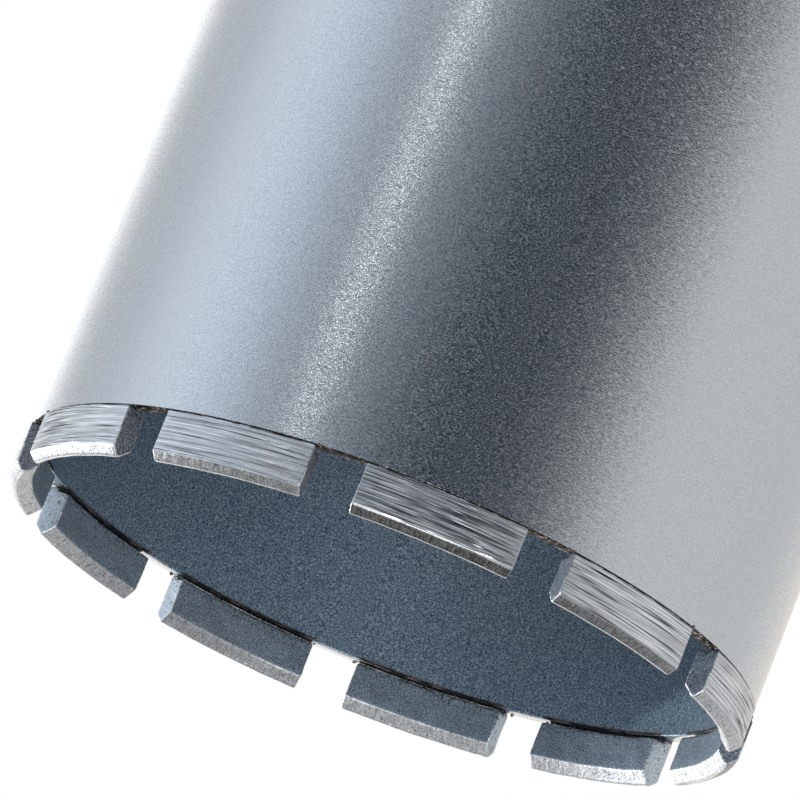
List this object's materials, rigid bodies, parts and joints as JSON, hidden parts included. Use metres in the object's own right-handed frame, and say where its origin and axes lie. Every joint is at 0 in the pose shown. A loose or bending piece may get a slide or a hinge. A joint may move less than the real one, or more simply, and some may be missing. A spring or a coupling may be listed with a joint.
{
  "type": "diamond core bit",
  "caption": "Thin steel tube with a ring of roof-shaped diamond segments round its mouth, closed at the back by a plate with a threaded hexagonal hub.",
  "frame": {"origin": "centre of the hub's end face, which seats on the drill spindle's shoulder and on which the bit stands", "axes": "+Z along the bit's axis from the hub to the cutting tips; -Y faces the middle of the first segment"},
  "size_m": [0.112, 0.1119, 0.3688],
  "materials": {
    "tube_steel": "fine-ground satin steel, turned marks round the tube",
    "diamond_matrix": "sintered metal and diamond grit, coarse-ground on the outer face and tips",
    "turned_steel": "turned mild steel",
    "weld_metal": "wire-brushed weld bead"
  },
  "bodies": {
    "root": {"barrel": "tube_steel", "base_plate": "turned_steel", "hub": "turned_steel", "barrel_weld": "weld_metal", "hub_weld": "weld_metal", "segment_01": "diamond_matrix", "segment_02": "diamond_matrix", "segment_03": "diamond_matrix", "segment_04": "diamond_matrix", "segment_05": "diamond_matrix", "segment_06": "diamond_matrix", "segment_07": "diamond_matrix", "segment_08": "diamond_matrix", "segment_09": "diamond_matrix", "segment_10": "diamond_matrix", "segment_11": "diamond_matrix"}
  },
  "joints": []
}
